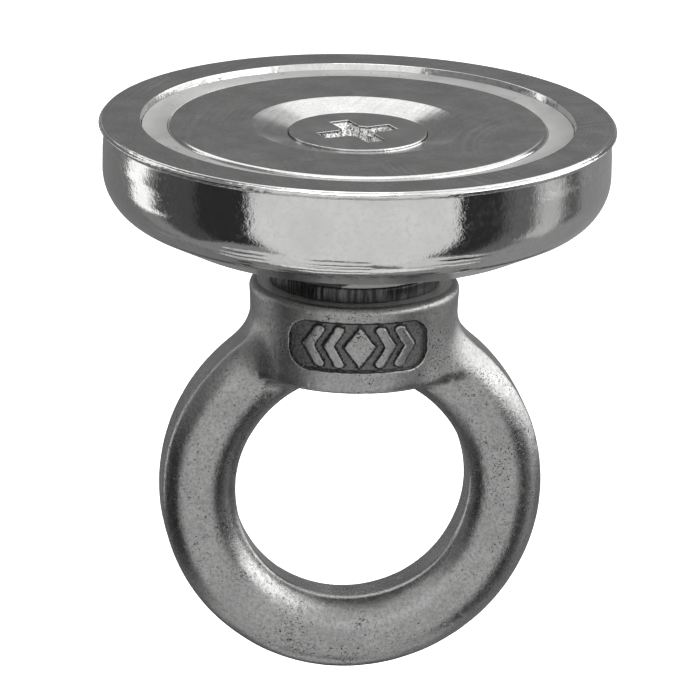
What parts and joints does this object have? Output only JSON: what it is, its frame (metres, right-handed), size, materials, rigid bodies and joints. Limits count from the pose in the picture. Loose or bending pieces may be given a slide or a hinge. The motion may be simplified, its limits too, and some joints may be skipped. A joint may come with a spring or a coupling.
{
  "type": "magnet fishing magnet",
  "caption": "Round nickel-plated pot magnet with a dished face, held by a cross-recess screw to a stainless eye nut whose ring takes a rope.",
  "frame": {"origin": "on the magnet's axis, level with the pot's rim face", "axes": "+Z out of the working face, away from the eye; the eye's ring lies in the XZ plane and its badge faces -Y"},
  "size_m": [0.06, 0.06, 0.0661],
  "materials": {
    "bright_nickel": "bright nickel plate over drawn steel",
    "satin_nickel": "satin nickel plate over a ground face",
    "resin": "semi-gloss cast resin",
    "screw_steel": "zinc-plated steel",
    "cast_stainless": "tumbled stainless forging with small pits"
  },
  "bodies": {
    "magnet_head": {"steel_pot": "bright_nickel", "ring_magnet": "satin_nickel", "potting_ring": "resin", "magnet_bond": "resin", "countersunk_screw": "screw_steel", "clamp_nut": "screw_steel"},
    "washer": {"eye_washer": "screw_steel"},
    "eye": {"eye_nut": "cast_stainless"}
  },
  "joints": [
    {"name": "washer_drop", "type": "slide", "parent": "magnet_head", "child": "washer", "axis": [0, 0, -1], "range_m": [0, 0.0069]},
    {"name": "eye_unscrew", "type": "hinge", "parent": "washer", "child": "eye", "pos_m": [0, 0, -0.019], "axis": [0, 0, -1], "range_deg": [0, 1980]}
  ],
  "couplings": [
    {"joint": "washer_drop", "follows": "eye_unscrew", "m_per_rad": 0.00019894}
  ]
}
